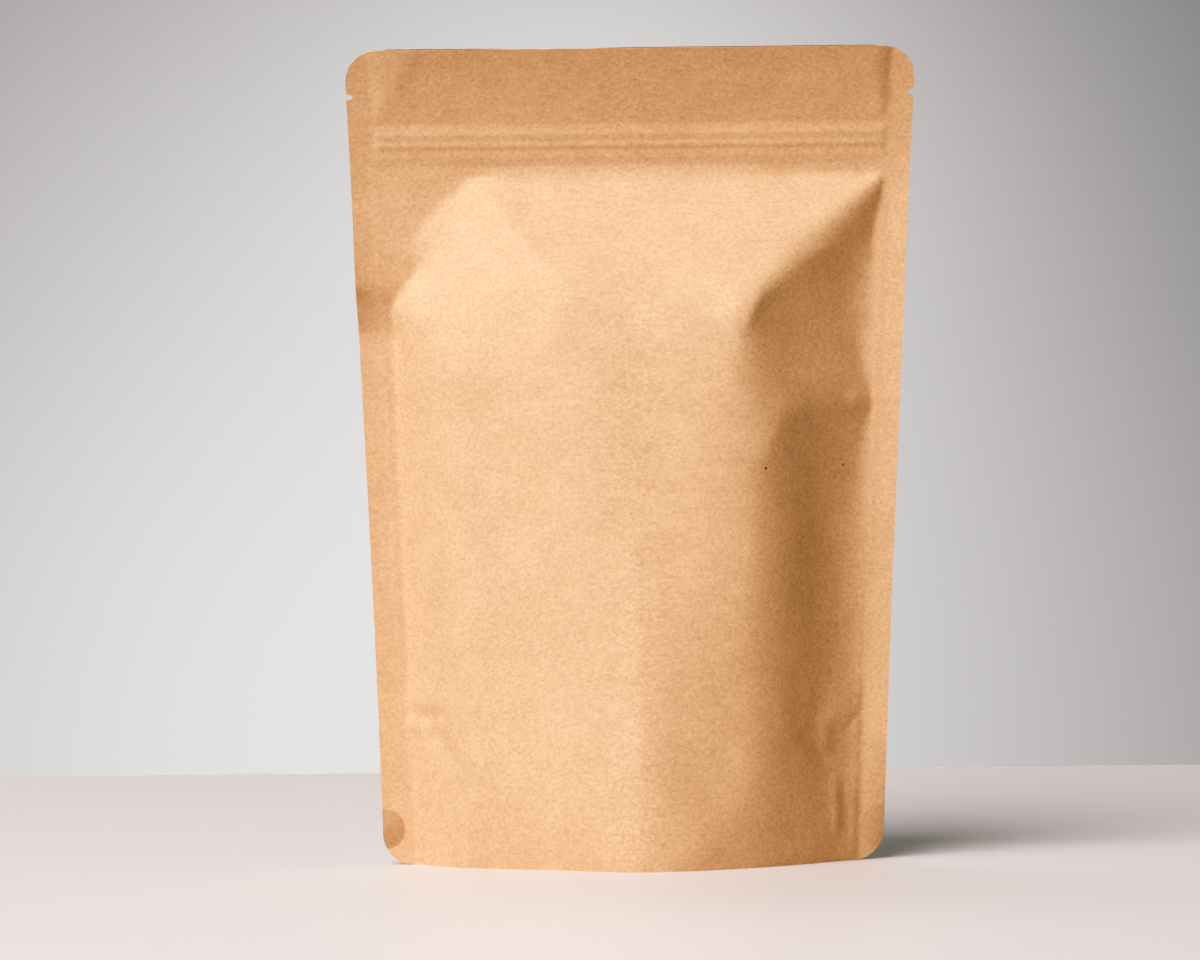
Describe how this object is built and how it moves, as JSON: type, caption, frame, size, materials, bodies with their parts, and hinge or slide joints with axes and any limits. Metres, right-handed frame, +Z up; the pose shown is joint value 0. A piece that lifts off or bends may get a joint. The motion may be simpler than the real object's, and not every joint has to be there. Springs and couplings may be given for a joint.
{
  "type": "kraft stand-up pouch",
  "caption": "Shut, filled kraft paper stand-up pouch with a flat header, zipper band, tear notches, side seals and a bottom gusset, bulging towards its base.",
  "frame": {"origin": "middle of the base, on the surface that the pouch stands on, halfway between its front and back bellies and between its side seals", "axes": "+Z up towards the header, +X to the right as seen from the front, and the front panel faces -Y"},
  "size_m": [0.178, 0.074, 0.2557],
  "materials": {
    "kraft_paper": "uncoated brown kraft paper, matt with a slight sheen"
  },
  "bodies": {
    "root": {"pouch": "kraft_paper"}
  },
  "joints": []
}
